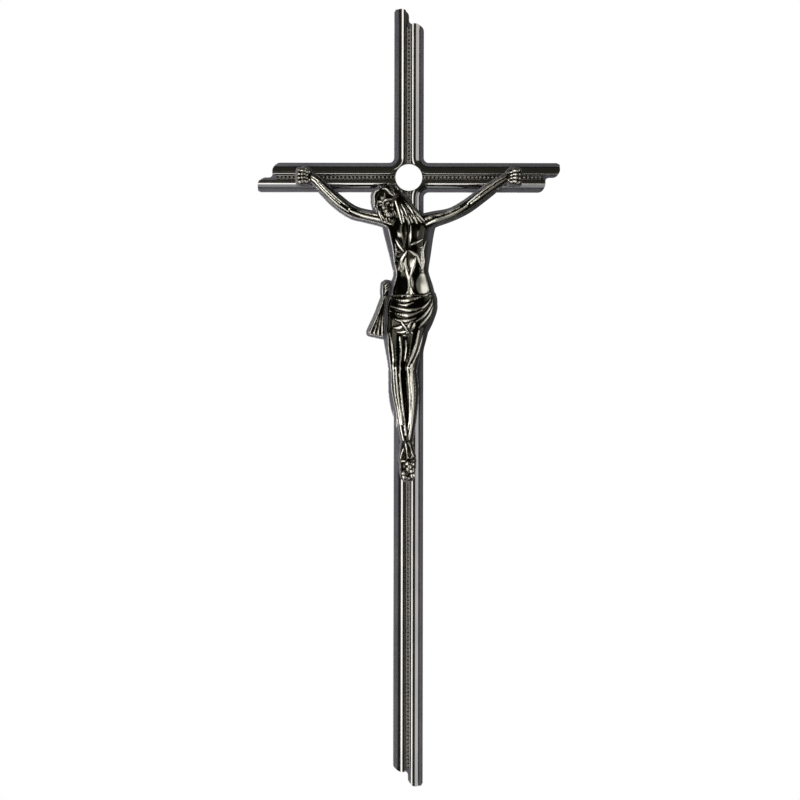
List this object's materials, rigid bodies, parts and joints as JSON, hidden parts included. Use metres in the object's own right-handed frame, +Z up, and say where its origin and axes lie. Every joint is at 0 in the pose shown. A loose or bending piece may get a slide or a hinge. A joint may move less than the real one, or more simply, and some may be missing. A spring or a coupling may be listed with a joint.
{
  "type": "metal grave cross",
  "caption": "Slim cast metal crucifix for a headstone or coffin: fluted bars with stepped ends, a round hole at the crossing and a draped figure in relief on a flat back.",
  "frame": {"origin": "on the flat back, on the middle line of the upright, halfway between the two fixing holes", "axes": "+Y out of the flat back, so the front looks along -Y; +Z up the upright; +X to the right of someone facing the front"},
  "size_m": [0.175, 0.0176, 0.45],
  "materials": {
    "casting": "polished zinc alloy casting with a dark nickel plating"
  },
  "bodies": {
    "root": {"crucifix": "casting"}
  },
  "joints": []
}
